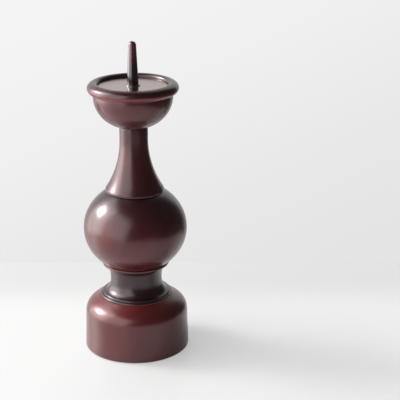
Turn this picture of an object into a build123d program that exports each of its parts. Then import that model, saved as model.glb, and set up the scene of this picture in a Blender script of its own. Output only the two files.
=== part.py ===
from build123d import *
import math
import os

# Pricket candle stand: turned wooden sections stacked on a central tie rod.
# Millimetres, +Z up. The stand's axis is the Z axis, and the face that rests on the table is z = 0.

# Base drum
base_radius = 37.5          # at the bottom edge
base_draw = 0.7             # how far the side draws in by the foot of the shoulder
base_side_height = 26.4
shoulder_height = 14.3
shoulder_slope = 30.0       # degrees above level, where the shoulder reaches its ledge
shoulder_side_pull = 7.0    # how far the shoulder's curve follows the side
shoulder_slope_pull = 6.0   # how far it follows its slope
base_bead_margin = 1.5      # the bead under the spool stands this far outside the spool's band
base_bead_side = 0.4        # upright side of the bead, below its rounding
base_ledge = 0.3            # the shoulder ends this far outside the bead
base_edge_round = 0.8

# Spool between the base and the ball
spool_band_radius = 24.2
spool_band_side = 0.2       # upright side of the band, below its rounding
spool_band_flat = 0.1       # between the band's rounding and the cove
cove_foot_lean = 66.0       # degrees from upright, where the cove leaves the band
cove_foot_pull = 3.2        # how far the cove's curve follows that lean
cove_waist_pull = 4.2       # how far it follows the waist below its narrowest place
spool_waist_radius = 18.4
spool_waist_height = 10.5
flare_waist_pull = 5.0      # how far the upper flare follows the waist
flare_top_lean = 60.0       # degrees from upright, where the flare reaches the ball
flare_top_pull = 3.0        # how far the flare follows that lean
spool_top_radius = 22.0
spool_height = 22.1

# Ball, a slightly flattened sphere on a thin flange
flange_step = 0.8           # the flange stands this far outside the ball's foot
flange_thickness = 1.6
ball_radius = 36.8
ball_half_height = 32.7
ball_foot_radius = 23.0     # where the ball meets its flange
ball_top_radius = 19.7      # flat that the neck stands on

# Trumpet neck
neck_lip_overhang = 1.0     # the lip stands this far outside the ball's top flat
neck_lip_height = 1.7
neck_lip_round = 0.8        # where the flare turns into the lip
neck_radius = 10.0
neck_straight = 9.8
neck_height = 46.85

# Cup: bowl with a rolled rim
bowl_radius = 27.9
bowl_depth = 22.5
rim_offset = 0.1            # the middle of the rolled rim runs this far outside the bowl
rim_roll_radius = 3.75
rim_rise = 4.75             # from the top of the bowl to the middle of the rim
rim_crown_inset = 1.25      # the crown runs this far inside the middle of the rim
rim_crown_height = 4.05     # from the middle of the rim to its crown
rim_lip_radius = 2.5        # where the crown turns down into the dish
dish_depth = 2.4            # from the crown to the drip plate

# Drip plate and spike
plate_thickness = 1.2
plate_edge_gap = 0.25
collar_step = 1.0           # the collar stands this far outside the spike's root
collar_height = 1.2
collar_round = 0.5
collar_sink = 0.5           # depth of the collar's seat in the plate
spike_root_radius = 4.1
spike_tip_radius = 2.75     # the tip is a dome of this radius
spike_length = 30.1
spike_thread_depth = 14.0

# Turned spigots and their sockets
lower_spigot_radius = 12.0  # spool into base
middle_spigot_radius = 10.0 # spool into ball, neck into ball
upper_spigot_radius = 6.0   # neck into cup
spigot_length = 7.5
spigot_side_gap = 0.15
spigot_end_gap = 0.5

# Tie rod and its fastening under the base
rod_radius = 2.5
rod_bore_gap = 0.3
rod_thread_gap = 0.05
rod_end_gap = 1.0           # rod stops this far short of the spike's blind hole
rod_tail = 1.5              # rod shows this far below the nut
rod_chamfer = 0.5
pocket_room = 2.0           # room for a socket wrench round the washer
pocket_depth = 16.0
washer_radius = 9.0
washer_thickness = 1.2
lock_washer_radius = 4.6
lock_washer_thickness = 1.3
lock_washer_slit = 0.8
nut_across_flats = 8.0
nut_thickness = 4.0

# Felt pad
felt_inset = 4.5            # from the drum's bottom edge to the pad
felt_thickness = 1.5
felt_proud = 0.5            # the pad stands this far below the drum
felt_edge_gap = 0.2

bead_round = 1.2            # rounded top edge of the base's bead and of the spool's band
flange_round = 0.42         # rounded edges of the ball's flange
edge_round = 0.3            # broken edge elsewhere

# Levels up the axis, from the felt to the spike's tip, and then from the pocket's ceiling down
z_base = felt_proud
z_shoulder = z_base + base_side_height
z_spool = z_shoulder + shoulder_height
z_ball = z_spool + spool_height
z_flange = z_ball + flange_thickness
z_ball_middle = z_flange + ball_half_height * math.sqrt(1 - (ball_foot_radius / ball_radius) ** 2)
z_neck = z_ball_middle + ball_half_height * math.sqrt(1 - (ball_top_radius / ball_radius) ** 2)
z_cup = z_neck + neck_height
z_bowl_top = z_cup + bowl_depth
z_rim = z_bowl_top + rim_rise
z_crown = z_rim + rim_crown_height
z_plate = z_crown - dish_depth
z_plate_seat = z_plate - plate_thickness
z_collar = z_plate - collar_sink
z_spike = z_collar + collar_height
z_spike_top = z_spike + spike_length
z_pocket = z_base + pocket_depth
z_washer = z_pocket - washer_thickness
z_lock_washer = z_washer - lock_washer_thickness
z_nut = z_lock_washer - nut_thickness
z_rod = z_nut - rod_tail
z_rod_top = z_spike + spike_thread_depth - rod_end_gap

base_bead_radius = spool_band_radius + base_bead_margin
flange_radius = ball_foot_radius + flange_step
neck_lip_radius = ball_top_radius + neck_lip_overhang
rim_ring_radius = bowl_radius + rim_offset
collar_radius = spike_root_radius + collar_step
pocket_radius = washer_radius + pocket_room
felt_radius = base_radius - felt_inset
rod_bore_radius = rod_radius + rod_bore_gap
rod_thread_radius = rod_radius + rod_thread_gap
rim_crown_radius = rim_ring_radius - rim_crown_inset
dish_radius = rim_crown_radius - rim_lip_radius
DOWN = (0, -1)
INWARD = (-1, 0)


def spun(outline, rounds=()):
    """Spin a closed outline about the stand's axis. Outline points are (radius, height).

    Each entry of rounds is a (corner, radius) pair for a corner of the outline that is broken.
    """
    face = make_face(outline)
    for corner, radius in rounds:
        vertex = face.vertices().sort_by_distance(Vector(*corner))[0]
        face = fillet(vertex, radius)
    return revolve(Plane.XZ * face, Axis.Z)


def ring(outer, inner, bottom, top, rounds=()):
    """A plain ring or disc with a hole, between two levels."""
    outline = Polyline((inner, bottom), (outer, bottom), (outer, top), (inner, top), close=True)
    return spun(outline, rounds)


def socket(radius, mouth, direction):
    """The space cut for a spigot that enters at the mouth level. Direction is +1 up or -1 down."""
    end = mouth + direction * (spigot_length + spigot_end_gap)
    return ring(radius + spigot_side_gap, 0, min(mouth, end), max(mouth, end))


def spigot(radius, root, direction):
    """A spigot with the rod's bore through it, pointing up (+1) or down (-1) from its root level."""
    end = root + direction * spigot_length
    corner = (radius, end)
    return ring(radius, rod_bore_radius, min(root, end), max(root, end), [(corner, edge_round)])


def ball_point(z):
    """Parameter angle, in degrees, of the ball's outline at a level."""
    return math.degrees(math.asin((z - z_ball_middle) / ball_half_height))


def base_drum():
    side_foot = (base_radius, z_base)
    side_top = (base_radius - base_draw, z_shoulder)
    bead_top = (base_bead_radius, z_spool)
    bead_foot = (base_bead_radius, z_spool - bead_round - base_bead_side)
    ledge = (base_bead_radius + base_ledge, bead_foot[1])
    lean = math.atan2(base_draw, base_side_height)
    slope = math.radians(shoulder_slope)
    above_side = (
        side_top[0] - shoulder_side_pull * math.sin(lean),
        side_top[1] + shoulder_side_pull * math.cos(lean),
    )
    below_ledge = (
        ledge[0] + shoulder_slope_pull * math.cos(slope),
        ledge[1] - shoulder_slope_pull * math.sin(slope),
    )
    outline = Curve() + [
        Line((rod_bore_radius, z_base), side_foot),
        Line(side_foot, side_top),
        Bezier(side_top, above_side, below_ledge, ledge),
        Line(ledge, bead_foot),
        Line(bead_foot, bead_top),
        Line(bead_top, (rod_bore_radius, z_spool)),
        Line((rod_bore_radius, z_spool), (rod_bore_radius, z_base)),
    ]
    drum = spun(outline, [(side_foot, base_edge_round), (bead_top, bead_round)])
    felt_recess = ring(felt_radius + felt_edge_gap, 0, z_base, felt_thickness)
    nut_pocket = ring(pocket_radius, 0, z_base, z_pocket)
    return drum - felt_recess - nut_pocket - socket(lower_spigot_radius, z_spool, -1)


def spool():
    band_foot = (spool_band_radius, z_spool)
    band_top = (spool_band_radius, z_spool + spool_band_side + bead_round)
    cove_foot = (spool_band_radius - bead_round - spool_band_flat, band_top[1])
    waist = (spool_waist_radius, z_spool + spool_waist_height)
    top = (spool_top_radius, z_ball)
    foot_lean = math.radians(cove_foot_lean)
    top_lean = math.radians(flare_top_lean)
    above_foot = (
        cove_foot[0] - cove_foot_pull * math.sin(foot_lean),
        cove_foot[1] + cove_foot_pull * math.cos(foot_lean),
    )
    below_top = (
        top[0] - flare_top_pull * math.sin(top_lean),
        top[1] - flare_top_pull * math.cos(top_lean),
    )
    outline = Curve() + [
        Line((rod_bore_radius, z_spool), band_foot),
        Line(band_foot, band_top),
        Line(band_top, cove_foot),
        Bezier(cove_foot, above_foot, (waist[0], waist[1] - cove_waist_pull), waist),
        Bezier(waist, (waist[0], waist[1] + flare_waist_pull), below_top, top),
        Line(top, (rod_bore_radius, z_ball)),
        Line((rod_bore_radius, z_ball), (rod_bore_radius, z_spool)),
    ]
    body = spun(outline, [(band_top, bead_round)])
    return body + spigot(lower_spigot_radius, z_spool, -1) + spigot(middle_spigot_radius, z_ball, 1)


def ball():
    flange_foot = (flange_radius, z_ball)
    flange_top = (flange_radius, z_flange)
    swell = EllipticalCenterArc(
        (0, z_ball_middle),
        ball_radius,
        ball_half_height,
        start_angle=ball_point(z_flange),
        arc_size=ball_point(z_neck) - ball_point(z_flange),
    )
    outline = Curve() + [
        Line((rod_bore_radius, z_ball), flange_foot),
        Line(flange_foot, flange_top),
        Line(flange_top, (ball_foot_radius, z_flange)),
        swell,
        Line((ball_top_radius, z_neck), (rod_bore_radius, z_neck)),
        Line((rod_bore_radius, z_neck), (rod_bore_radius, z_ball)),
    ]
    body = spun(outline, [(flange_foot, flange_round), (flange_top, flange_round)])
    return body - socket(middle_spigot_radius, z_ball, 1) - socket(middle_spigot_radius, z_neck, -1)


def neck():
    lip_foot = (neck_lip_radius, z_neck)
    lip_top = (neck_lip_radius, z_neck + neck_lip_height)
    flare_top = (neck_radius, z_cup - neck_straight)
    outline = Curve() + [
        Line((rod_bore_radius, z_neck), lip_foot),
        Line(lip_foot, lip_top),
        TangentArc(flare_top, lip_top, tangent=DOWN),
        Line(flare_top, (neck_radius, z_cup)),
        Line((neck_radius, z_cup), (rod_bore_radius, z_cup)),
        Line((rod_bore_radius, z_cup), (rod_bore_radius, z_neck)),
    ]
    body = spun(outline, [(lip_foot, edge_round), (lip_top, neck_lip_round)])
    return body + spigot(middle_spigot_radius, z_neck, -1) + spigot(upper_spigot_radius, z_cup, 1)


def cup():
    bowl_foot = (neck_radius, z_cup)
    bowl_top = (bowl_radius, z_bowl_top)
    rim_drop = math.sqrt(rim_roll_radius ** 2 - (bowl_radius - rim_ring_radius) ** 2)
    quirk = (bowl_radius, z_rim - rim_drop)
    outside = (rim_ring_radius + rim_roll_radius, z_rim)
    crown = (rim_crown_radius, z_crown)
    lip_end = (dish_radius, z_crown - rim_lip_radius)
    crown_reach = outside[0] - crown[0]
    under_roll = (
        rim_ring_radius + rim_roll_radius * math.sqrt(0.5),
        z_rim - rim_roll_radius * math.sqrt(0.5),
    )
    outline = Curve() + [
        Line((rod_bore_radius, z_cup), bowl_foot),
        TangentArc(bowl_top, bowl_foot, tangent=DOWN),
        Line(bowl_top, quirk),
        ThreePointArc(quirk, under_roll, outside),
        EllipticalCenterArc((crown[0], z_rim), crown_reach, rim_crown_height, start_angle=0, arc_size=90),
        TangentArc(crown, lip_end, tangent=INWARD),
        Line(lip_end, (dish_radius, z_plate_seat)),
        Line((dish_radius, z_plate_seat), (rod_bore_radius, z_plate_seat)),
        Line((rod_bore_radius, z_plate_seat), (rod_bore_radius, z_cup)),
    ]
    return spun(outline) - socket(upper_spigot_radius, z_cup, 1)


def drip_plate():
    edge = dish_radius - plate_edge_gap
    plate = ring(edge, rod_bore_radius, z_plate_seat, z_plate, [((edge, z_plate), edge_round)])
    return plate - ring(collar_radius + spigot_side_gap, 0, z_collar, z_plate)


def spike_collar():
    corner = (collar_radius, z_spike)
    return ring(collar_radius, rod_thread_radius, z_collar, z_spike, [(corner, collar_round)])


def pricket_spike():
    run = spike_length - spike_tip_radius
    lean = math.atan2(spike_root_radius - spike_tip_radius, run)
    dome_middle = z_spike_top - spike_tip_radius
    dome_start = (spike_tip_radius * math.cos(lean), dome_middle + spike_tip_radius * math.sin(lean))
    dome_half = (math.pi / 2 + lean) / 2
    dome_point = (
        spike_tip_radius * math.cos(dome_half),
        dome_middle + spike_tip_radius * math.sin(dome_half),
    )
    outline = Curve() + [
        Line((0, z_spike), (spike_root_radius, z_spike)),
        Line((spike_root_radius, z_spike), dome_start),
        ThreePointArc(dome_start, dome_point, (0, z_spike_top)),
        Line((0, z_spike_top), (0, z_spike)),
    ]
    thread = ring(rod_thread_radius, 0, z_spike, z_spike + spike_thread_depth)
    return spun(outline) - thread


def tie_rod():
    rod = Polyline((0, z_rod), (rod_radius, z_rod), (rod_radius, z_rod_top), (0, z_rod_top), close=True)
    face = make_face(rod)
    ends = face.vertices().sort_by(Axis.X)[-2:]
    return revolve(Plane.XZ * chamfer(ends, rod_chamfer), Axis.Z)


def base_washer():
    return ring(washer_radius, rod_bore_radius, z_washer, z_pocket)


def lock_washer():
    whole = ring(lock_washer_radius, rod_bore_radius, z_lock_washer, z_washer)
    slit = Box(
        2 * lock_washer_radius,
        lock_washer_slit,
        2 * lock_washer_thickness,
        align=(Align.MIN, Align.CENTER, Align.CENTER),
    )
    return whole - Pos(0, 0, (z_lock_washer + z_washer) / 2) * slit


def base_nut():
    hexagon = RegularPolygon(nut_across_flats / 2, side_count=6, major_radius=False)
    prism = extrude(Plane.XY.offset(z_nut) * hexagon, nut_thickness)
    return prism - ring(rod_thread_radius, 0, z_nut, z_lock_washer)


def felt_pad():
    return Cylinder(felt_radius, felt_thickness, align=(Align.CENTER, Align.CENTER, Align.MIN))


pieces = [
    base_drum,
    spool,
    ball,
    neck,
    cup,
    drip_plate,
    spike_collar,
    pricket_spike,
    tie_rod,
    base_washer,
    lock_washer,
    base_nut,
    felt_pad,
]

os.makedirs("parts", exist_ok=True)
for piece in pieces:
    export_step(piece(), f"parts/{piece.__name__}.step")
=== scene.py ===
import cmath
import math

import bpy
from bpy.props import FloatProperty, FloatVectorProperty, IntProperty, PointerProperty
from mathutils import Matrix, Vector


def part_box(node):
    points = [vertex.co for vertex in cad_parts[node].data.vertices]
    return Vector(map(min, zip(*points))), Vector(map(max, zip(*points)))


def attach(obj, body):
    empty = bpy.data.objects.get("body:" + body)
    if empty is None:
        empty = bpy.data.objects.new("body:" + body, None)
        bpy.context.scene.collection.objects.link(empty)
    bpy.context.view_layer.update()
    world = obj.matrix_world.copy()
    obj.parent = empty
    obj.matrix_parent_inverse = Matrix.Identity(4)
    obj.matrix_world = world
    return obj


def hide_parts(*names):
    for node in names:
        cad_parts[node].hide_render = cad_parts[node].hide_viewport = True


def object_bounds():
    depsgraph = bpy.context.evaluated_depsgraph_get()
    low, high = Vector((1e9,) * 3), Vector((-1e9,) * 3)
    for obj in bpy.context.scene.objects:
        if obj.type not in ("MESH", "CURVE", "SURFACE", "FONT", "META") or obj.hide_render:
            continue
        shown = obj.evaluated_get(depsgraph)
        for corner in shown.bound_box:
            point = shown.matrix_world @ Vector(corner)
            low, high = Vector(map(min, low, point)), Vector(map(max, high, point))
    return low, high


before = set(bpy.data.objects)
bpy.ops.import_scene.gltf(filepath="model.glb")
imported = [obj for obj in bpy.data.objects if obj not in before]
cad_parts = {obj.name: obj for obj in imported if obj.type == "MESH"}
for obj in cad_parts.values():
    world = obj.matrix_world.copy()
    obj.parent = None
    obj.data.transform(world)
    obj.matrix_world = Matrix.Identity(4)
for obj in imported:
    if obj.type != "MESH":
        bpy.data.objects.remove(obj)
cad_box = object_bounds()

bl_info = {
    "name": "Pricket Candle Stand",
    "version": (1, 0, 0),
    "blender": (4, 5, 0),
    "location": "View3D > Sidebar > Candle Stand",
    "description": "Turns and lacquers a pricket candle stand around its packed frame",
    "category": "Object",
}

MM = 0.001
UP = 1j
INWARD = -1
ROUND = 0.5523  # Bezier pull, as a share of the radius, that makes a quarter of an oval
LINE_STEP = 2 * MM  # longest stretch between points on a straight run
CURVE_STEPS = 48  # points on an arc or a Bezier curve
OVAL_STEPS = 96  # points on the ball's side
EASE_STEPS = 6  # points on a rounded edge
CORE = 0.01 * MM  # radius of the ring that an outline is spun along
MERGE = 0.001 * MM  # points closer than this become one
SHARP = math.radians(32)  # edges that turn more than this stay sharp
NOISE_MIDDLE = 0.5  # middle of a noise that runs from 0 to 1
SEAM = 0.01 * MM  # how far below a joint the lower section's colour ends
SENSOR = 36.0  # width of the camera's sensor in millimetres


def low(node):
    """Height of a node's lowest point."""
    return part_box(node)[0].z


def high(node):
    """Height of a node's highest point."""
    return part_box(node)[1].z


def reach(node):
    """Greatest radius of a turned node."""
    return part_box(node)[1].x


def size(name, description, default):
    return FloatProperty(
        name=name, description=description, default=default, min=0.0, precision=5, unit="LENGTH"
    )


def share(name, description, default):
    return FloatProperty(
        name=name, description=description, default=default, min=0.0, max=1.0, subtype="FACTOR"
    )


def paint(name, description, default):
    return FloatVectorProperty(
        name=name, description=description, default=default, size=3, min=0.0, max=1.0, subtype="COLOR"
    )


def spot(name, description, default):
    return FloatVectorProperty(name=name, description=description, default=default, subtype="TRANSLATION")


def spread(name, description, default):
    return FloatVectorProperty(name=name, description=description, default=default, size=2, unit="LENGTH")


def slant(name, description, degrees):
    return FloatProperty(
        name=name, description=description, default=math.radians(degrees), subtype="ANGLE"
    )


def watts(name, description, default):
    return FloatProperty(name=name, description=description, default=default, min=0.0, unit="POWER")


def ratio(name, description, default):
    return FloatProperty(name=name, description=description, default=default, min=1.0)


class StandSizes(bpy.types.PropertyGroup):
    """Sizes of the turned sections. The frame gives levels, and greatest radii above the drum."""

    base_radius: size("Base radius", "Radius of the drum at its bottom edge", 37.5 * MM)
    side_height: size("Side height", "Straight side of the drum", 26.4 * MM)
    base_draw: size("Base draw", "How far the drum's side draws in by its shoulder", 0.7 * MM)
    shoulder_slope: slant("Shoulder slope", "Slope of the shoulder where it reaches its ledge", 30.0)
    side_pull: size("Side pull", "How far the shoulder's curve follows the side", 7.0 * MM)
    slope_pull: size("Slope pull", "How far the shoulder's curve follows its slope", 6.0 * MM)
    bead_margin: size("Bead margin", "How far the drum's bead stands outside the spool's band", 1.5 * MM)
    bead_side: size("Bead side", "Upright side of the drum's bead, below its rounding", 0.4 * MM)
    ledge: size("Ledge", "How far outside that bead the shoulder ends", 0.3 * MM)
    base_round: size("Base edge", "Rounding of the drum's bottom edge", 0.8 * MM)
    band_side: size("Band side", "Upright side of the spool's band, below its rounding", 0.2 * MM)
    band_flat: size("Band flat", "Flat between the band's rounding and the cove", 0.1 * MM)
    cove_lean: slant("Cove lean", "Lean of the cove where it leaves the band", 66.0)
    cove_pull: size("Cove pull", "How far the cove follows that lean", 3.2 * MM)
    cove_waist_pull: size("Cove waist pull", "How far the cove follows the waist", 4.2 * MM)
    spool_waist: size("Spool waist", "Radius of the spool's waist", 18.4 * MM)
    waist_height: size("Waist height", "Height of the waist above the spool's foot", 10.5 * MM)
    flare_waist_pull: size("Flare waist pull", "How far the upper flare follows the waist", 5.0 * MM)
    flare_lean: slant("Flare lean", "Lean of the upper flare where it reaches the ball", 60.0)
    flare_pull: size("Flare pull", "How far the upper flare follows that lean", 3.0 * MM)
    spool_top: size("Spool top", "Radius of the spool under the ball", 22.0 * MM)
    flange_step: size("Flange step", "How far the thin flange stands outside the ball's foot", 0.8 * MM)
    flange_height: size("Flange height", "Thickness of that flange", 1.6 * MM)
    ball_half: size("Ball half height", "Half of the ball's height if it were whole", 32.7 * MM)
    ball_foot: size("Ball foot", "Radius of the ball where it meets its flange", 23.0 * MM)
    lip_height: size("Lip height", "Height of the lip at the neck's foot", 1.7 * MM)
    lip_round: size("Lip round", "Rounding where the flare turns into the lip", 0.5 * MM)
    neck_radius: size("Neck radius", "Radius of the neck under the cup", 10.0 * MM)
    neck_straight: size("Neck straight", "Length of the neck's straight top", 9.8 * MM)
    bowl_radius: size("Bowl radius", "Radius of the bowl under its rim", 27.9 * MM)
    bowl_depth: size("Bowl depth", "Depth of the bowl below its rim", 22.5 * MM)
    rim_roll: size("Rim roll", "Radius of the rolled rim's underside", 3.75 * MM)
    crown_inset: size("Crown inset", "How far inside the roll's middle the crown runs", 1.25 * MM)
    crown_height: size("Crown height", "Height of the crown above the roll's middle", 4.05 * MM)
    rim_lip: size("Rim lip", "Radius where the crown turns down into the dish", 2.5 * MM)
    rod_bore: size("Rod bore", "Radius of the bore for the tie rod", 2.8 * MM)
    thread_bore: size("Thread bore", "Radius of the spike's threaded hole", 2.55 * MM)
    thread_depth: size("Thread depth", "Depth of the spike's threaded hole", 14.0 * MM)
    spike_tip: size("Spike tip", "Radius of the spike's domed tip", 2.75 * MM)
    spigot_length: size("Spigot length", "Length of the turned spigots", 7.5 * MM)
    spigot_room: size("Spigot room", "Room beyond a spigot's end", 0.5 * MM)
    spigot_gap: size("Spigot gap", "Gap beside a spigot", 0.15 * MM)
    lower_spigot: size("Lower spigot", "Radius of the spigot in the base", 12.0 * MM)
    middle_spigot: size("Middle spigot", "Radius of the spigots in the ball", 10.0 * MM)
    upper_spigot: size("Upper spigot", "Radius of the spigot in the cup", 6.0 * MM)
    pocket_radius: size("Pocket radius", "Radius of the nut pocket under the base", 11.0 * MM)
    pocket_depth: size("Pocket depth", "Depth of the nut pocket", 16.0 * MM)
    felt_gap: size("Felt gap", "Gap round the felt pad", 0.2 * MM)
    collar_sink: size("Collar sink", "Depth of the collar's seat in the plate", 0.5 * MM)
    collar_round: size("Collar round", "Rounding of the collar's edge", 0.5 * MM)
    bead_round: size("Bead round", "Rounding of the drum's bead and the spool's band", 1.2 * MM)
    flange_round: size("Flange round", "Rounding of the ball's flange", 0.42 * MM)
    ease: size("Edge", "Rounding of other edges", 0.3 * MM)
    waver: size("Waver", "Full swing of a turned surface's waver", 0.30 * MM)
    waver_length: size("Waver length", "Size of the swells in that waver", 15 * MM)
    around: IntProperty(name="Around", description="Faces round a turned piece", default=192, min=24)


class StandFinish(bpy.types.PropertyGroup):
    """Colours, gloss and texture of the stand."""

    # The deep stain colour is also used as painted shade on the wood.
    deep_stain: paint("Deep stain", "Where the stain took most", (0.014, 0.0042, 0.0062))
    red_stain: paint("Red stain", "Where the stain is thin and the wood shows", (0.115, 0.0135, 0.0140))
    cloud_size: size("Cloud size", "Size of the clouds in the stain", 20 * MM)
    cloud_depth: share("Cloud depth", "How much the clouds change the stain's depth", 0.45)
    grain_width: size("Grain width", "Width of the wood's grain lines", 1.6 * MM)
    grain_depth: share("Grain depth", "How much the grain changes the stain's depth", 0.16)
    grain_relief: size("Grain relief", "Height of the grain in the wood", 0.02 * MM)
    pore_width: size("Pore width", "Width of the wood's pores", 0.55 * MM)
    pore_depth: share("Pore depth", "How much the pores darken the stain", 0.08)
    pore_gloss: share("Pore roughness", "How much rougher the pores are", 0.03)
    gleam: share("Grain gleam", "How much the grain gleams in its own colour under the lacquer", 0.30)
    gloss_swing: share("Roughness swing", "How much clouds change the roughness of wood and lacquer", 0.06)
    gloss: share("Wood roughness", "Roughness of the wood under its lacquer", 0.38)
    lacquer_gloss: share("Lacquer roughness", "Roughness of the lacquer on wood", 0.27)
    lacquer_index: ratio("Lacquer index", "Refractive index of the lacquer on wood", 1.55)
    metal_lacquer: paint("Metal lacquer", "Reddest lacquer on spike and collar", (0.090, 0.0150, 0.0290))
    metal_cloud_size: size("Metal cloud size", "Size of the clouds in the metal's lacquer", 9 * MM)
    metal_cloud_depth: share("Metal cloud depth", "How much they change the lacquer's redness", 0.25)
    metal_gloss: share("Metal roughness", "Roughness of the plate, and of the lacquer's colour coat", 0.22)
    top_coat_gloss: share("Top coat roughness", "Roughness of the clear coat on spike and collar", 0.15)
    metal_index: ratio("Metal lacquer index", "Refractive index of the lacquer on metal", 1.5)
    plate_tone: paint("Plate tone", "Tinted shine of the drip plate", (0.40, 0.305, 0.29))
    tool_line: size("Tool line", "Width of the turning lines on plate, collar and spike", 0.35 * MM)
    tool_relief: size("Tool relief", "Depth of those lines", 0.01 * MM)
    zinc: paint("Zinc", "Plated steel of the rod, nut and washers", (0.56, 0.56, 0.58))
    zinc_dull: share("Zinc dullness", "Tone of the zinc's dull clouds, as a share of its colour", 0.72)
    zinc_cloud_size: size("Zinc cloud size", "Size of those clouds", 3 * MM)
    zinc_gloss: share("Zinc roughness", "Roughness of the zinc", 0.30)
    zinc_swing: share("Zinc roughness swing", "How much the turning lines change that roughness", 0.15)
    zinc_line: size("Zinc line", "Width of the turning lines in the zinc", 0.3 * MM)
    zinc_relief: size("Zinc relief", "Depth of those lines", 0.02 * MM)
    felt_wool: paint("Felt", "Wool of the pad", (0.035, 0.033, 0.032))
    felt_fleck: ratio("Felt fleck", "How many times as bright the wool's pale fibres are", 2.4)
    felt_cloud_size: size("Felt cloud size", "Size of the clouds in the felt", 6 * MM)
    fibre_width: size("Fibre width", "Width of the wool's fibres", 0.5 * MM)
    fibre_relief: size("Fibre relief", "Height of the fibres", 0.25 * MM)
    felt_gloss: share("Felt roughness", "Roughness of the felt", 0.95)
    felt_sheen: share("Felt sheen", "Strength of the soft shine on the felt's fibres", 0.4)


class StageSet(bpy.types.PropertyGroup):
    """Floor, backdrop, lamps and camera."""

    floor_tone: paint("Floor", "Colour of the floor", (0.78, 0.78, 0.777))
    # The floor's back colour and its fade are painted shade towards the back edge.
    floor_painted_shade: paint("Floor at the back", "Colour of the floor towards its back edge", (0.68, 0.68, 0.677))
    floor_fade: spread("Floor fade", "Y where the floor starts to dim and where it is dim", (0.05, 0.12))
    floor_glow: share("Floor glow", "Share of the floor's plain colour that shows in shadow too", 0.55)
    floor_mirrored: share("Floor mirrored", "That share where the floor shows in the lacquer", 0.22)
    floor_sheen: share("Floor sheen", "Strength of the floor's own reflections", 0.5)
    pale_gloss: share("Pale roughness", "Roughness of the floor and the backdrop", 0.35)
    floor_near: spread("Floor near corner", "X and Y of the floor's near left corner", (-0.60, -0.50))
    floor_far: spread("Floor far corner", "X and Y of the floor's far right corner", (0.32, 0.156))
    # The backdrop's two colours, its fade and its lean are painted light: bright high on the left, with
    # painted shade low on the right.
    backdrop_tone: paint("Backdrop", "Colour of the backdrop, high on the left", (0.90, 0.905, 0.90))
    backdrop_painted_shade: paint("Dim backdrop", "Colour of the backdrop, low on the right", (0.77, 0.775, 0.77))
    backdrop_fade: spread("Backdrop fade", "Z where the backdrop starts to dim and is dim", (0.17, -0.71))
    backdrop_lean: share("Backdrop lean", "How much the fade drops for each metre to the right", 0.5)
    wall_distance: size("Backdrop distance", "How far the backdrop stands behind the stand", 1.4)
    wall_low: spread("Backdrop low corner", "X and Z of the backdrop's low left corner", (-1.75, -1.5))
    wall_high: spread("Backdrop high corner", "X and Z of the backdrop's high right corner", (1.05, 3.0))
    window_place: spot("Window place", "Middle of the window lamp", (-2.56, 0.69, 1.52))
    window_extent: spread("Window extent", "Width and height of the window lamp", (0.9, 0.9))
    window_power: watts("Window power", "Power of the window lamp", 80.0)
    pane_place: spot("Low pane place", "Middle of the low pane", (-2.92, 0.67, 1.15))
    pane_extent: spread("Low pane extent", "Width and height of the low pane", (3.3, 5.0))
    pane_power: watts("Low pane power", "Power of the low pane", 184.0)
    side_place: spot("Side wall place", "Middle of the pale side wall", (-2.65, -1.41, 0.9))
    side_extent: spread("Side wall extent", "Width and height of the pale side wall", (6.0, 4.8))
    side_power: watts("Side wall power", "Power of the pale side wall", 215.0)
    room: share("Room", "Brightness of the room around", 0.09)
    camera_place: spot("Camera place", "Where the camera stands", (0.04615, -0.83752, 0.40030))
    camera_dip: slant("Camera dip", "How far the camera looks below level", 19.098)
    lens: FloatProperty(
        name="Lens", description="Focal length of the camera", default=112.5, min=1.0, unit="CAMERA"
    )


def even_steps(count):
    """Even steps up to 1, without the 0 that they start from."""
    return [(i + 1) / count for i in range(count)]


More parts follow.
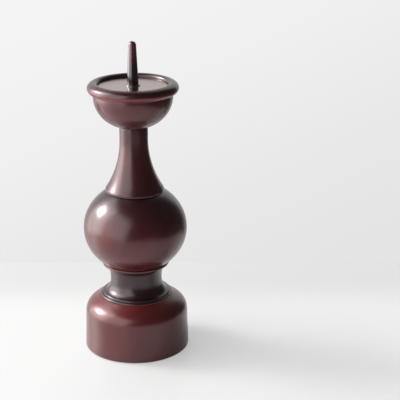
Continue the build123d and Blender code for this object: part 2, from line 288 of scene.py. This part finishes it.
class Pen:
    """Draws a turned piece's closed half section as radius + height * 1j points."""

    def __init__(self, radius, height):
        self.points = [complex(radius, height)]
        self.eased = {}

    def line(self, radius, height, ease=0.0):
        """A straight run, to a corner that can be eased."""
        start, end = self.points[-1], complex(radius, height)
        count = max(1, math.ceil(abs(end - start) / LINE_STEP))
        self.points += [start + (end - start) * t for t in even_steps(count)]
        if ease:
            self.eased[len(self.points) - 1] = ease

    def arc(self, radius, height, leaving=None, arriving=None):
        """An arc that sets off along leaving, or comes in along arriving."""
        start, end = self.points[-1], complex(radius, height)
        if leaving is None:
            self.points += bend(end, start, -arriving)[-2::-1] + [end]
        else:
            self.points += bend(start, end, leaving)

    def curve(self, first_pull, last_pull, radius, height):
        """A Bezier curve that leaves along first_pull and comes in along last_pull."""
        start, end = self.points[-1], complex(radius, height)
        near, far = start + first_pull, end - last_pull
        for t in even_steps(CURVE_STEPS):
            ends = start * (1 - t) ** 3 + end * t ** 3
            pulls = 3 * near * t * (1 - t) ** 2 + 3 * far * t ** 2 * (1 - t)
            self.points.append(ends + pulls)

    def oval(self, middle, radius, half_height, top):
        """Goes up round an oval that is centred on the axis, to the height top."""
        first = math.asin((self.points[-1].imag - middle) / half_height)
        last = math.asin((top - middle) / half_height)
        angles = [first + (last - first) * t for t in even_steps(OVAL_STEPS)]
        self.points += [complex(radius * math.cos(a), middle + half_height * math.sin(a)) for a in angles]

    def section(self):
        """The closed outline, with its eased corners rounded."""
        outline = []
        skipped = set()
        for at, ease in self.eased.items():
            skipped.update(self._near(at, ease))
        for at, point in enumerate(self.points):
            if at in self.eased:
                outline += self._rounded(at, self.eased[at])
            elif at not in skipped:
                outline.append(point)
        return outline

    def _near(self, at, ease):
        """Points that a corner's rounding swallows."""
        count = len(self.points)
        return {i for i in range(count) if i != at and abs(self.points[i] - self.points[at]) < ease}

    def _edge_point(self, at, step, ease):
        """The outline's point that lies ease away from a corner, going one way."""
        corner = self.points[at]
        count = len(self.points)
        i = at
        while abs(self.points[(i + step) % count] - corner) < ease:
            i += step
        inner, outer = self.points[i % count], self.points[(i + step) % count]
        done, whole = abs(inner - corner), abs(outer - corner)
        return inner + (outer - inner) * (ease - done) / (whole - done)

    def _rounded(self, at, ease):
        """A corner's rounding, from the edge before it to the edge after it."""
        first = self._edge_point(at, -1, ease)
        last = self._edge_point(at, 1, ease)
        corner = self.points[at]
        shares = [0.0] + even_steps(EASE_STEPS)
        return [first * (1 - t) ** 2 + corner * 2 * t * (1 - t) + last * t ** 2 for t in shares]


def bend(start, end, leaving):
    """Points of the arc from start to end that sets off along leaving, without its first point."""
    chord = end - start
    turn = cmath.phase(chord / leaving)
    way = leaving / abs(leaving) * abs(chord) / math.sin(turn)
    return [start + way * math.sin(turn * t) * cmath.exp(1j * turn * t) for t in even_steps(CURVE_STEPS)]


def drum_section(s):
    seat = high("base_drum")
    bottom = low("base_drum")
    socket = seat - s.spigot_length - s.spigot_room
    shoulder = bottom + s.side_height
    foot = s.base_radius
    recess = high("felt_pad")
    pen = Pen(s.rod_bore, bottom + s.pocket_depth)
    pen.line(s.pocket_radius, bottom + s.pocket_depth)
    pen.line(s.pocket_radius, recess)
    pen.line(reach("felt_pad") + s.felt_gap, recess)
    pen.line(reach("felt_pad") + s.felt_gap, bottom)
    pen.line(foot, bottom, ease=s.base_round)
    pen.line(foot - s.base_draw, shoulder)
    side = complex(-s.base_draw, s.side_height)
    slope = cmath.rect(1.0, math.pi - s.shoulder_slope)
    bead = reach("spool") + s.bead_margin
    ledge = seat - s.bead_round - s.bead_side
    pen.curve(s.side_pull * side / abs(side), s.slope_pull * slope, bead + s.ledge, ledge)
    pen.line(bead, ledge)
    pen.line(bead, seat, ease=s.bead_round)
    pen.line(s.lower_spigot + s.spigot_gap, seat)
    pen.line(s.lower_spigot + s.spigot_gap, socket)
    pen.line(s.rod_bore, socket)
    return pen.section()


def spool_section(s):
    foot, top = high("base_drum"), low("ball")
    band = reach("spool")
    cove = foot + s.band_side + s.bead_round
    pen = Pen(s.rod_bore, foot - s.spigot_length)
    pen.line(s.lower_spigot, foot - s.spigot_length, ease=s.ease)
    pen.line(s.lower_spigot, foot)
    pen.line(band, foot)
    pen.line(band, cove, ease=s.bead_round)
    pen.line(band - s.bead_round - s.band_flat, cove)
    rising_in = UP * cmath.rect(s.cove_pull, s.cove_lean)
    rising_out = UP * cmath.rect(s.flare_pull, -s.flare_lean)
    pen.curve(rising_in, s.cove_waist_pull * UP, s.spool_waist, foot + s.waist_height)
    pen.curve(s.flare_waist_pull * UP, rising_out, s.spool_top, top)
    pen.line(s.middle_spigot, top)
    pen.line(s.middle_spigot, top + s.spigot_length, ease=s.ease)
    pen.line(s.rod_bore, top + s.spigot_length)
    return pen.section()


def ball_section(s):
    foot, top = low("ball"), high("ball")
    flange = foot + s.flange_height
    middle = flange + s.ball_half * math.sqrt(1 - (s.ball_foot / reach("ball")) ** 2)
    depth = s.spigot_length + s.spigot_room
    socket = s.middle_spigot + s.spigot_gap
    pen = Pen(s.rod_bore, foot + depth)
    pen.line(socket, foot + depth)
    pen.line(socket, foot)
    pen.line(s.ball_foot + s.flange_step, foot, ease=s.flange_round)
    pen.line(s.ball_foot + s.flange_step, flange, ease=s.flange_round)
    pen.line(s.ball_foot, flange)
    pen.oval(middle, reach("ball"), s.ball_half, top)
    pen.line(socket, top)
    pen.line(socket, top - depth)
    pen.line(s.rod_bore, top - depth)
    return pen.section()


def neck_section(s):
    foot, top = high("ball"), low("cup")
    lip = reach("neck")
    pen = Pen(s.rod_bore, foot - s.spigot_length)
    pen.line(s.middle_spigot, foot - s.spigot_length, ease=s.ease)
    pen.line(s.middle_spigot, foot)
    pen.line(lip, foot, ease=s.ease)
    pen.line(lip, foot + s.lip_height, ease=s.lip_round)
    pen.arc(s.neck_radius, top - s.neck_straight, arriving=UP)
    pen.line(s.neck_radius, top, ease=s.ease)
    pen.line(s.upper_spigot, top)
    pen.line(s.upper_spigot, top + s.spigot_length, ease=s.ease)
    pen.line(s.rod_bore, top + s.spigot_length)
    return pen.section()


def cup_section(s):
    foot, crown = low("cup"), high("cup")
    roll = s.rim_roll
    ring = reach("cup") - roll
    rim = crown - s.crown_height
    peak = ring - s.crown_inset
    dish = peak - s.rim_lip
    seat = low("drip_plate")
    socket = s.upper_spigot + s.spigot_gap
    depth = s.spigot_length + s.spigot_room
    drop = math.sqrt(roll ** 2 - (s.bowl_radius - ring) ** 2)
    pen = Pen(s.rod_bore, foot + depth)
    pen.line(socket, foot + depth)
    pen.line(socket, foot)
    pen.line(s.neck_radius, foot, ease=s.ease)
    pen.arc(s.bowl_radius, foot + s.bowl_depth, arriving=UP)
    pen.line(s.bowl_radius, rim - drop)
    pen.arc(ring + roll, rim, arriving=UP)
    pen.curve(ROUND * s.crown_height * UP, ROUND * (peak - reach("cup")), peak, crown)
    pen.arc(dish, crown - s.rim_lip, leaving=INWARD)
    pen.line(dish, seat)
    pen.line(s.rod_bore, seat)
    return pen.section()


def plate_section(s):
    under, top = low("drip_plate"), high("drip_plate")
    seat = reach("spike_collar") + s.spigot_gap
    pen = Pen(s.rod_bore, under)
    pen.line(reach("drip_plate"), under)
    pen.line(reach("drip_plate"), top, ease=s.ease)
    pen.line(seat, top)
    pen.line(seat, top - s.collar_sink)
    pen.line(s.rod_bore, top - s.collar_sink)
    return pen.section()


def collar_section(s):
    under, top = low("spike_collar"), high("spike_collar")
    pen = Pen(s.thread_bore, under)
    pen.line(reach("spike_collar"), under)
    pen.line(reach("spike_collar"), top, ease=s.collar_round)
    pen.line(s.thread_bore, top)
    return pen.section()


def spike_section(s):
    root, tip = low("pricket_spike"), high("pricket_spike")
    slope = complex(s.spike_tip - reach("pricket_spike"), tip - s.spike_tip - root)
    outward = -UP * slope / abs(slope)
    dome = s.spike_tip * outward + UP * (tip - s.spike_tip)
    pen = Pen(0.0, root + s.thread_depth)
    pen.line(s.thread_bore, root + s.thread_depth)
    pen.line(s.thread_bore, root)
    pen.line(reach("pricket_spike"), root)
    pen.line(dome.real, dome.imag)
    pen.arc(0.0, tip, leaving=slope)
    return pen.section()


def felt_section(s):
    under, top = low("felt_pad"), high("felt_pad")
    pen = Pen(0.0, under)
    pen.line(reach("felt_pad"), under, ease=2 * s.ease)
    pen.line(reach("felt_pad"), top, ease=s.ease)
    pen.line(0.0, top)
    return pen.section()


def feed(tree, socket, value):
    """Link a socket to another socket, or set it to a plain value."""
    if isinstance(value, bpy.types.NodeSocket):
        tree.links.new(value, socket)
    else:
        socket.default_value = value


def add_node(tree, kind, settings=None, sockets=None):
    """A new node in a tree, with its settings made and its inputs fed."""
    made = tree.nodes.new(kind)
    for key, value in (settings or {}).items():
        setattr(made, key, value)
    for key, value in (sockets or {}).items():
        feed(tree, made.inputs[key], value)
    return made


def lathe_tree():
    """Node tree that spins an outline curve about the Z axis and lets its surface waver."""
    tree = bpy.data.node_groups.new("lathe", "GeometryNodeTree")
    inputs = {
        "Geometry": "NodeSocketGeometry",
        "Around": "NodeSocketInt",
        "Start Radius": "NodeSocketFloat",
        "Waver": "NodeSocketFloat",
        "Swells": "NodeSocketFloat",
        "Sharp Angle": "NodeSocketFloat",
        "Material": "NodeSocketMaterial",
    }
    for name, kind in inputs.items():
        tree.interface.new_socket(name, in_out="INPUT", socket_type=kind)
    tree.interface.new_socket("Geometry", in_out="OUTPUT", socket_type="NodeSocketGeometry")
    given = tree.nodes.new("NodeGroupInput").outputs

    def node(kind, sockets=None, **settings):
        return add_node(tree, kind, settings, sockets).outputs

    circle = node(
        "GeometryNodeCurvePrimitiveCircle",
        {"Resolution": given["Around"], "Radius": given["Start Radius"]},
    )
    upright = node("GeometryNodeSetCurveNormal", {"Curve": circle["Curve"]}, mode="Z_UP")
    spun = node(
        "GeometryNodeCurveToMesh",
        {"Curve": upright["Curve"], "Profile Curve": given["Geometry"]},
    )
    joined = node("GeometryNodeMergeByDistance", {"Geometry": spun["Mesh"], "Distance": MERGE})
    swell = node("ShaderNodeTexNoise", {"Scale": given["Swells"], "Detail": 1.0})
    rise = node("ShaderNodeMath", {0: swell["Fac"], 1: NOISE_MIDDLE}, operation="SUBTRACT")
    height = node("ShaderNodeMath", {0: rise[0], 1: given["Waver"]}, operation="MULTIPLY")
    outward = node("GeometryNodeInputNormal")
    shift = node(
        "ShaderNodeVectorMath",
        {"Vector": outward["Normal"], "Scale": height[0]},
        operation="SCALE",
    )
    wavy = node(
        "GeometryNodeSetPosition",
        {"Geometry": joined["Geometry"], "Offset": shift["Vector"]},
    )
    angle = node("GeometryNodeInputMeshEdgeAngle")
    soft = node(
        "FunctionNodeCompare",
        {"A": angle["Unsigned Angle"], "B": given["Sharp Angle"]},
        data_type="FLOAT",
        operation="LESS_THAN",
    )
    smooth = node(
        "GeometryNodeSetShadeSmooth",
        {"Geometry": wavy["Geometry"], "Shade Smooth": soft["Result"]},
        domain="EDGE",
    )
    single = node("GeometryNodeRealizeInstances", {"Geometry": smooth["Geometry"]})
    dressed = node(
        "GeometryNodeSetMaterial",
        {"Geometry": single["Geometry"], "Material": given["Material"]},
    )
    node("NodeGroupOutput", {"Geometry": dressed["Geometry"]})
    return tree


def set_inputs(modifier, values):
    """Set a modifier's inputs, found by name, through their identifiers."""
    for item in modifier.node_group.interface.items_tree:
        if item.in_out == "INPUT" and item.name in values:
            modifier[item.identifier] = values[item.name]


def added(name, data):
    """A new object in the scene."""
    made = bpy.data.objects.new(name, data)
    bpy.context.scene.collection.objects.link(made)
    return made


def turned(name, outline, material, around, waver=0.0, swells=1.0):
    """A turned piece from its half section, which is a ring or runs from axis to axis."""
    curve = bpy.data.curves.new(name, "CURVE")
    curve.dimensions = "3D"
    spline = curve.splines.new("POLY")
    spline.points.add(len(outline) - 1)
    for point, place in zip(spline.points, reversed(outline)):
        point.co = (place.real - CORE, -place.imag, 0.0, 1.0)
    spline.use_cyclic_u = outline[0].real > 0.0
    drawn = added(name + ".outline", curve)
    spin = drawn.modifiers.new("lathe", "NODES")
    spin.node_group = bpy.data.node_groups.get("lathe") or lathe_tree()
    set_inputs(spin, {
        "Around": around,
        "Start Radius": CORE,
        "Waver": waver,
        "Swells": swells,
        "Sharp Angle": SHARP,
        "Material": material,
    })
    graph = bpy.context.evaluated_depsgraph_get()
    mesh = bpy.data.meshes.new_from_object(drawn.evaluated_get(graph), depsgraph=graph)
    bpy.data.objects.remove(drawn)
    bpy.data.curves.remove(curve)
    mesh.name = name
    return added(name, mesh)


def seated(piece, node):
    """Put a piece in the place of its node on the frame."""
    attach(piece, "root")
    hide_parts(node)


class Term:
    """A number on a shader socket. Arithmetic on it adds Math nodes."""

    def __init__(self, shader, socket):
        self.shader = shader
        self.socket = socket

    def __add__(self, other):
        return self.shader.math("ADD", self, other)

    def __radd__(self, other):
        return self.shader.math("ADD", other, self)

    def __sub__(self, other):
        return self.shader.math("SUBTRACT", self, other)

    def __rsub__(self, other):
        return self.shader.math("SUBTRACT", other, self)

    def __mul__(self, other):
        return self.shader.math("MULTIPLY", self, other)

    def __rmul__(self, other):
        return self.shader.math("MULTIPLY", other, self)

    def swing(self, amount):
        """A noise moved to run about zero, over amount in all."""
        return (self - NOISE_MIDDLE) * amount


class Shader:
    """A material's node tree, written as expressions."""

    def __init__(self, name):
        self.material = bpy.data.materials.new(name)
        self.material.use_nodes = True
        self.tree = self.material.node_tree
        self.tree.nodes.clear()

    def node(self, kind, settings=None, sockets=None):
        """A new node, whose inputs take terms, sockets and plain values."""
        fed = {k: v.socket if isinstance(v, Term) else v for k, v in (sockets or {}).items()}
        return add_node(self.tree, kind, settings, fed)

    def math(self, operation, *values):
        made = self.node("ShaderNodeMath", {"operation": operation}, dict(enumerate(values)))
        return Term(self, made.outputs[0])

    def place(self):
        """Object coordinates."""
        return self.node("ShaderNodeTexCoord").outputs["Object"]

    def axis(self, letter):
        """The object coordinate along X, Y or Z."""
        parts = self.node("ShaderNodeSeparateXYZ", {}, {"Vector": self.place()})
        return Term(self, parts.outputs[letter])

    def noise(self, size, density=(1.0, 1.0, 1.0), detail=2.0, roughness=0.5, distortion=0.0):
        """Noise from 0 to 1 whose marks are about size across, and longer along an axis of low density."""
        scale = tuple(d / size for d in density)
        scaled = self.node("ShaderNodeMapping", {}, {"Vector": self.place(), "Scale": scale})
        made = self.node(
            "ShaderNodeTexNoise",
            {"noise_dimensions": "3D"},
            {
                "Vector": scaled.outputs["Vector"],
                "Scale": 1.0,
                "Detail": detail,
                "Roughness": roughness,
                "Distortion": distortion,
            },
        )
        return Term(self, made.outputs["Fac"])

    def between(self, value, low_end, high_end):
        """A smooth step of a value, from 0 at low_end to 1 at high_end."""
        made = self.node(
            "ShaderNodeMapRange",
            {"interpolation_type": "SMOOTHSTEP"},
            {"Value": value, "From Min": low_end, "From Max": high_end},
        )
        return Term(self, made.outputs["Result"])

    def mix(self, factor, first, second):
        """A colour between two colours."""
        made = self.node("ShaderNodeMix", {"data_type": "RGBA"}, {"Factor": factor})
        colours = [i for i in made.inputs if i.type == "RGBA"]
        for socket, colour in zip(colours, (first, second)):
            made_already = isinstance(colour, bpy.types.NodeSocket)
            feed(self.tree, socket, colour if made_already else (*colour, 1.0))
        return next(o for o in made.outputs if o.type == "RGBA")

    def along_height(self, stops):
        """A value that runs through (height, value) stops up the object."""
        first, last = stops[0][0], stops[-1][0]
        risen = (self.axis("Z") - first) * (1 / (last - first))
        made = self.node("ShaderNodeValToRGB", {}, {"Fac": risen})
        marks = made.color_ramp.elements
        for height, value in stops[1:-1]:
            marks.new((height - first) / (last - first)).color = (value, value, value, 1.0)
        marks[0].color = (stops[0][1],) * 3 + (1.0,)
        marks[-1].color = (stops[-1][1],) * 3 + (1.0,)
        return Term(self, made.outputs["Color"])

    def bump(self, height, distance, strength):
        sockets = {"Height": height, "Distance": distance, "Strength": strength}
        return self.node("ShaderNodeBump", {}, sockets).outputs["Normal"]

    def surface(self, sockets):
        """The material, with one principled surface."""
        return self.finish(self.node("ShaderNodeBsdfPrincipled", {}, sockets).outputs["BSDF"])

    def finish(self, closure):
        self.node("ShaderNodeOutputMaterial", {}, {"Surface": closure})
        return self.material


def stain_and_shade_by_height():
    """How deep the colour is, from the drum's foot up to the rim, as (height, depth) pairs. It is stain and
    painted shade together: the drum's bead, the spool between drum and ball, the top of the ball and foot
    of the neck where they meet, and the neck's top under the cup are made darker as painted shade. The
    other heights are simply made darker or redder.
    """
    drum_foot, drum_top = low("base_drum"), high("base_drum")
    ball_foot, ball_top = low("ball"), high("ball")
    cup_foot, rim_top = low("cup"), high("cup")
    shoulder = drum_foot + 0.70 * (drum_top - drum_foot)
    upper_slope = drum_top - 4.0 * MM
    slope_end = drum_top - 1.7 * MM
    bead_foot = drum_top - 1.5 * MM
    bowl_top = rim_top - 9.0 * MM
    roll_foot = rim_top - 8.0 * MM
    roll_middle = rim_top - 4.5 * MM
    crown_foot = rim_top - 3.0 * MM
    return (
        (drum_foot, 0.45),
        (shoulder, 0.36),
        (upper_slope, 0.26),
        (slope_end, 0.02),
        # Partly stain, partly painted shade: the drum's bead and the spool, between drum and ball, are made
        # dark.
        (bead_foot, 0.80),
        (drum_top, 0.85),
        (ball_foot - SEAM, 0.80),
        (ball_foot, 0.35),
        ((ball_foot + ball_top) / 2, 0.46),
        # Stain and painted shade: the top of the ball and the foot of the neck, where they meet, are made
        # dark.
        (ball_top - SEAM, 0.80),
        (ball_top, 0.68),
        ((ball_top + cup_foot) / 2, 0.48),
        # Stain and painted shade: the neck's top, under the cup, is made darker.
        (cup_foot - SEAM, 0.65),
        (cup_foot, 0.45),
        (bowl_top, 0.45),
        (roll_foot, 0.05),
        (roll_middle, 0.15),
        (crown_foot, 0.65),
        (rim_top, 0.75),
    )


def stained_wood_and_painted_shade(finish):
    """Dark red stain on close-grained wood, under satin lacquer, with painted shade in the stain's depth at
    some heights.
    """
    s = Shader("stained_wood_and_painted_shade")
    cloud = s.noise(finish.cloud_size, density=(1.0, 1.0, 0.7), detail=3.0, roughness=0.55)
    grain = s.noise(finish.grain_width, density=(1.0, 1.0, 0.05), detail=3.0, roughness=0.6, distortion=0.4)
    pore = s.noise(finish.pore_width, density=(1.0, 1.0, 0.08), detail=1.0)
    pores = s.between(pore, low_end=0.62, high_end=0.72)
    patches = cloud.swing(finish.cloud_depth) + grain.swing(finish.grain_depth)
    # The depth by height is partly painted shade: it deepens the colour where shade falls between the
    # sections, and the mixed colour below carries it.
    depth = s.between(s.along_height(stain_and_shade_by_height()) + patches, low_end=0.0, high_end=1.0)
    stain = s.mix(depth, finish.red_stain, finish.deep_stain)
    return s.surface({
        "Base Color": s.mix(pores * finish.pore_depth, stain, finish.deep_stain),
        "Roughness": finish.gloss + cloud.swing(finish.gloss_swing) + pores * finish.pore_gloss,
        "Metallic": finish.gleam,
        "Specular IOR Level": 0.0,
        "Coat Weight": 1.0,
        "Coat Roughness": finish.lacquer_gloss,
        "Coat IOR": finish.lacquer_index,
        "Normal": s.bump(grain * 0.6 - pores * 0.4, finish.grain_relief, strength=0.25),
    })


def lacquer_by_height():
    """How red the metal's lacquer is, from the plate up to the spike's tip, as (height, share) pairs."""
    plate, root, tip = low("drip_plate"), low("pricket_spike"), high("pricket_spike")
    length = tip - root
    return (
        (plate, 0.10),
        (root - SEAM, 0.10),
        (root, 0.02),
        (root + 0.40 * length, 0.10),
        (root + 0.70 * length, 0.70),
        (root + 0.90 * length, 0.70),
        (tip, 0.35),
    )


def cover_by_height():
    """How well lacquer covers the metal, which is bare on the plate, as (height, share) pairs."""
    plate, seat, tip = low("drip_plate"), high("drip_plate"), high("pricket_spike")
    bare_end = seat + 0.15 * MM
    covered_start = seat + 0.30 * MM
    return ((plate, 0.0), (bare_end, 0.0), (covered_start, 1.0), (tip, 1.0))


def satin_metal(finish):
    """Turned metal, tinted and bare on the plate, and under dark lacquer on collar and spike."""
    s = Shader("satin_metal")
    cloud = s.noise(finish.metal_cloud_size)
    lines = s.noise(finish.tool_line, density=(0.05, 0.05, 1.0), detail=1.0)
    red = s.along_height(lacquer_by_height()) + cloud.swing(finish.metal_cloud_depth)
    redness = s.between(red, low_end=0.0, high_end=1.0)
    lacquer = s.mix(redness, finish.deep_stain, finish.metal_lacquer)
    cover = s.along_height(cover_by_height())
    return s.surface({
        "Base Color": s.mix(cover, finish.plate_tone, lacquer),
        "Metallic": 1.0 - cover,
        "Roughness": finish.metal_gloss + cloud.swing(finish.gloss_swing),
        "IOR": finish.metal_index,
        "Coat Weight": cover,
        "Coat Roughness": finish.top_coat_gloss,
        "Normal": s.bump(lines, finish.tool_relief, strength=0.2),
    })


def zinc_plate(finish):
    """Bright zinc on turned steel."""
    s = Shader("zinc_plate")
    cloud = s.noise(finish.zinc_cloud_size)
    lines = s.noise(finish.zinc_line, density=(0.1, 0.1, 1.0))
    dull = tuple(finish.zinc_dull * c for c in finish.zinc)
    return s.surface({
        "Base Color": s.mix(cloud, dull, finish.zinc),
        "Metallic": 1.0,
        "Roughness": finish.zinc_gloss + lines.swing(finish.zinc_swing),
        "Normal": s.bump(lines, finish.zinc_relief, strength=0.3),
    })


def wool_felt(finish):
    """Pressed wool fibres."""
    s = Shader("wool_felt")
    fibre = s.noise(finish.fibre_width, density=(1.0, 0.35, 1.0), detail=4.0, roughness=0.7, distortion=1.5)
    cloud = s.noise(finish.felt_cloud_size)
    pale_wool = tuple(min(1.0, finish.felt_fleck * c) for c in finish.felt_wool)
    fleck = s.between(fibre * 0.7 + cloud * 0.3, low_end=0.35, high_end=0.7)
    return s.surface({
        "Base Color": s.mix(fleck, finish.felt_wool, pale_wool),
        "Roughness": finish.felt_gloss,
        "Sheen Weight": finish.felt_sheen,
        "Sheen Roughness": 0.5,
        "Normal": s.bump(fibre, finish.fibre_relief, strength=0.8),
    })


def made_once(name, make):
    """A finish by name, made the first time it is asked for."""
    return bpy.data.materials.get(name) or make(bpy.context.scene.stand_finish)


class STAND_OT_turn_wood(bpy.types.Operator):
    """Turn the five wooden sections and lacquer them"""

    bl_idname = "stand.turn_wood"
    bl_label = "Turn Wood"

    def execute(self, context):
        sizes = context.scene.stand_sizes
        wood = made_once("stained_wood_and_painted_shade", stained_wood_and_painted_shade)
        sections = {
            "base_drum": drum_section,
            "spool": spool_section,
            "ball": ball_section,
            "neck": neck_section,
            "cup": cup_section,
        }
        swells = 1.0 / sizes.waver_length
        for node, draw in sections.items():
            piece = turned(node + "_turned", draw(sizes), wood, sizes.around, sizes.waver, swells)
            seated(piece, node)
        return {"FINISHED"}


class STAND_OT_turn_metal(bpy.types.Operator):
    """Turn the drip plate, the collar and the spike"""

    bl_idname = "stand.turn_metal"
    bl_label = "Turn Metal"

    def execute(self, context):
        sizes = context.scene.stand_sizes
        metal = made_once("satin_metal", satin_metal)
        sections = {
            "drip_plate": plate_section,
            "spike_collar": collar_section,
            "pricket_spike": spike_section,
        }
        for node, draw in sections.items():
            piece = turned(node + "_turned", draw(sizes), metal, sizes.around // 2)
            seated(piece, node)
        return {"FINISHED"}


class STAND_OT_lay_felt(bpy.types.Operator):
    """Cut the felt pad under the base"""

    bl_idname = "stand.lay_felt"
    bl_label = "Lay Felt"

    def execute(self, context):
        sizes = context.scene.stand_sizes
        felt = made_once("wool_felt", wool_felt)
        piece = turned("felt_disc", felt_section(sizes), felt, sizes.around)
        seated(piece, "felt_pad")
        return {"FINISHED"}


class STAND_OT_plate_hardware(bpy.types.Operator):
    """Give the rod, nut and washers their zinc"""

    bl_idname = "stand.plate_hardware"
    bl_label = "Plate Hardware"

    def execute(self, context):
        zinc = made_once("zinc_plate", zinc_plate)
        for node in ("tie_rod", "base_washer", "lock_washer", "base_nut"):
            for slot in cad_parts[node].material_slots:
                slot.material = zinc
        return {"FINISHED"}


def flat_panel(name, corners, material):
    """A panel with four corners."""
    mesh = bpy.data.meshes.new(name)
    mesh.from_pydata(corners, [], [(0, 1, 2, 3)])
    mesh.materials.append(material)
    return added(name, mesh)


def seen_rays(s, glow, mirrored):
    """The glow on rays that show a surface to the camera, or mirrored on rays that reflect it."""
    path = s.node("ShaderNodeLightPath").outputs
    camera, through, glossy = (
        Term(s, path[name]) for name in ("Is Camera Ray", "Is Transmission Ray", "Is Glossy Ray")
    )
    return s.math("MAXIMUM", s.math("MAXIMUM", camera, through) * glow, glossy * mirrored)


def pale(s, colour, roughness, sheen, glow, mirrored):
    """A pale surface that shows a share of its plain colour whatever the light on it."""
    satin = {"Base Color": colour, "Roughness": roughness, "Specular IOR Level": sheen}
    lit = s.node("ShaderNodeBsdfPrincipled", {}, satin).outputs[0]
    plain = s.node("ShaderNodeEmission", {}, {"Color": colour, "Strength": 1.0}).outputs[0]
    blend = {0: seen_rays(s, glow, mirrored), 1: lit, 2: plain}
    return s.finish(s.node("ShaderNodeMixShader", {}, blend).outputs[0])


def pale_floor(stage):
    """A satin table top with painted shade towards its back edge."""
    s = Shader("pale_floor")
    dim = s.between(s.axis("Y"), *stage.floor_fade)
    colour = s.mix(dim, stage.floor_tone, stage.floor_painted_shade)
    return pale(
        s, colour, stage.pale_gloss, stage.floor_sheen, stage.floor_glow, stage.floor_mirrored
    )


def pale_backdrop(stage):
    """A plain wall with painted light: bright high on the left, with painted shade downwards and to the
    right.
    """
    s = Shader("pale_backdrop")
    start, end = stage.backdrop_fade
    bright = s.between(s.axis("Z") - s.axis("X") * stage.backdrop_lean, end, start)
    colour = s.mix(bright, stage.backdrop_painted_shade, stage.backdrop_tone)
    return pale(s, colour, stage.pale_gloss, sheen=0.0, glow=1.0, mirrored=1.0)


def lay_floor(stage):
    """The table top, from its near left corner to its far right one."""
    left, front = stage.floor_near
    right, back = stage.floor_far
    corners = [(left, front, 0), (right, front, 0), (right, back, 0), (left, back, 0)]
    return flat_panel("floor", corners, pale_floor(stage))


def hang_backdrop(stage):
    """The wall behind the stand."""
    left, under = stage.wall_low
    right, over = stage.wall_high
    back = stage.wall_distance
    corners = [(left, back, under), (right, back, under), (right, back, over), (left, back, over)]
    return flat_panel("backdrop", corners, pale_backdrop(stage))


def lamp(name, place, extent, power):
    """A soft rectangular lamp that faces the middle of the stand."""
    data = bpy.data.lights.new(name, "AREA")
    data.shape = "RECTANGLE"
    data.size, data.size_y = extent
    data.energy = power
    light = added(name, data)
    light.location = place
    middle = (cad_box[0] + cad_box[1]) / 2
    light.rotation_euler = (light.location - middle).to_track_quat("Z", "Y").to_euler()


def fill_room(stage):
    """Dim white light from all round."""
    world = bpy.data.worlds.new("room")
    world.use_nodes = True
    sky = world.node_tree.nodes["Background"].inputs
    sky["Color"].default_value = (1.0, 1.0, 1.0, 1.0)
    sky["Strength"].default_value = stage.room
    bpy.context.scene.world = world


def aim_camera(stage):
    """The camera, which looks along Y and dips below level."""
    data = bpy.data.cameras.new("camera")
    data.lens = stage.lens
    data.sensor_width = SENSOR
    camera = added("camera", data)
    camera.location = stage.camera_place
    camera.rotation_euler = (math.pi / 2 - stage.camera_dip, 0.0, 0.0)
    bpy.context.scene.camera = camera


class STAND_OT_set_stage(bpy.types.Operator):
    """Set the floor, the backdrop, the lamps and the camera"""

    bl_idname = "stand.set_stage"
    bl_label = "Set Stage"

    def execute(self, context):
        stage = context.scene.stand_stage
        floor = lay_floor(stage)
        wall = hang_backdrop(stage)
        lamp("window", stage.window_place, stage.window_extent, stage.window_power)
        lamp("low_pane", stage.pane_place, stage.pane_extent, stage.pane_power)
        lamp("side_wall", stage.side_place, stage.side_extent, stage.side_power)
        fill_room(stage)
        aim_camera(stage)
        context.scene.view_settings.view_transform = "Standard"
        return {"FINISHED"}


class STAND_PT_panel(bpy.types.Panel):
    """Lists the steps that dress the stand"""

    bl_idname = "STAND_PT_panel"
    bl_label = "Candle Stand"
    bl_space_type = "VIEW_3D"
    bl_region_type = "UI"
    bl_category = "Candle Stand"

    def draw(self, context):
        for step in steps:
            self.layout.operator(step.bl_idname)
        for name, group in groups.items():
            box = self.layout.box()
            for setting in group.__annotations__:
                box.prop(getattr(context.scene, name), setting)


steps = (
    STAND_OT_turn_wood,
    STAND_OT_turn_metal,
    STAND_OT_lay_felt,
    STAND_OT_plate_hardware,
    STAND_OT_set_stage,
)
groups = {"stand_sizes": StandSizes, "stand_finish": StandFinish, "stand_stage": StageSet}


def register():
    for name, group in groups.items():
        bpy.utils.register_class(group)
        setattr(bpy.types.Scene, name, PointerProperty(type=group))
    for step in steps:
        bpy.utils.register_class(step)
    bpy.utils.register_class(STAND_PT_panel)


def unregister():
    bpy.utils.unregister_class(STAND_PT_panel)
    for step in reversed(steps):
        bpy.utils.unregister_class(step)
    for name, group in groups.items():
        delattr(bpy.types.Scene, name)
        bpy.utils.unregister_class(group)


def main():
    register()
    bpy.ops.stand.turn_wood()
    bpy.ops.stand.turn_metal()
    bpy.ops.stand.lay_felt()
    bpy.ops.stand.plate_hardware()
    bpy.ops.stand.set_stage()


if __name__ == "__main__":
    main()
